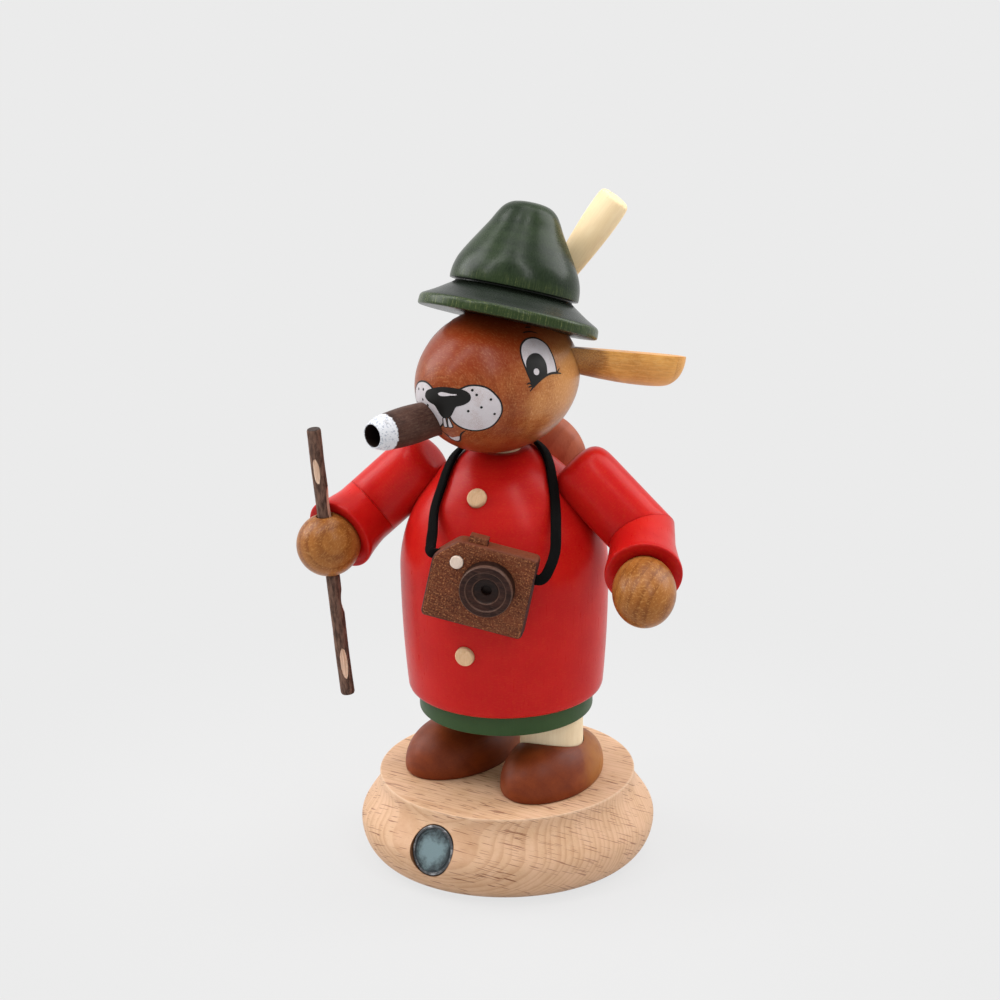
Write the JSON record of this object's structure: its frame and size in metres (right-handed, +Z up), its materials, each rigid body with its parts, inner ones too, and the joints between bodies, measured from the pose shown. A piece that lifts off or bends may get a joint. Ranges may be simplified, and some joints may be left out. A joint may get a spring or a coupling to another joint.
{
  "type": "incense cone holder",
  "caption": "Turned wooden hare with hat, stick and hanging camera; an incense cone burns on a plate inside the hollow coat and smokes through the cigar.",
  "frame": {"origin": "centre of the base's underside, on the table", "axes": "+Z up along the base's turning axis; -Y is the front, where the badge sits; +X is the figure's left"},
  "size_m": [0.0908, 0.0747, 0.1537],
  "materials": {
    "beech": "bare, fine sanded",
    "pewter": "aged",
    "brown_stain": "satin stain",
    "golden_wood": "satin stain",
    "pale_wood": "bare",
    "green_stain": "satin stain",
    "hat_stain": "satin stain",
    "tin": "pressed",
    "brass": "bright",
    "red_stain": "satin stain",
    "salmon_stain": "satin stain",
    "bark": "bark, with peeled patches",
    "cigar_stain": "satin stain",
    "walnut": "oiled",
    "dark_walnut": "oiled",
    "black_lace": "suede"
  },
  "bodies": {
    "stand": {"base": "beech", "badge": "pewter", "right_shoe": "brown_stain", "left_shoe": "brown_stain", "right_leg": "pale_wood", "left_leg": "pale_wood", "hem_disc": "green_stain", "incense_plate": "tin", "plate_nail": "brass"},
    "upper_figure": {"coat": "red_stain", "upper_button": "pale_wood", "lower_button": "pale_wood", "left_shoulder_dowel": "pale_wood", "right_shoulder_dowel": "pale_wood", "left_upper_arm": "red_stain", "right_upper_arm": "red_stain", "left_forearm": "red_stain", "right_forearm": "red_stain", "left_hand": "golden_wood", "right_hand": "golden_wood", "rucksack": "salmon_stain", "neck_tube": "pale_wood", "head": "brown_stain", "left_ear": "golden_wood", "right_ear": "golden_wood", "left_ear_dowel": "pale_wood", "right_ear_dowel": "pale_wood", "cigar": "cigar_stain", "hat": "hat_stain", "feather": "pale_wood", "camera_strap": "black_lace"},
    "stick": {"walking_stick": "bark"},
    "camera": {"camera_body": "walnut", "camera_lens": "dark_walnut", "camera_flash": "pale_wood", "camera_shutter": "walnut"}
  },
  "joints": [
    {"name": "coat_lift", "type": "slide", "parent": "stand", "child": "upper_figure", "axis": [0, 0, 1], "range_m": [0, 0.055]},
    {"name": "stick_slide", "type": "slide", "parent": "upper_figure", "child": "stick", "axis": [-0.0805, -0.0458, 0.9957], "range_m": [-0.018, 0.022]},
    {"name": "camera_swing", "type": "hinge", "parent": "upper_figure", "child": "camera", "pos_m": [0.00337, -0.00834, 0.097], "axis": [-0.9272, -0.3746, 0], "range_deg": [0, 35], "deforming": ["camera_strap"]}
  ]
}
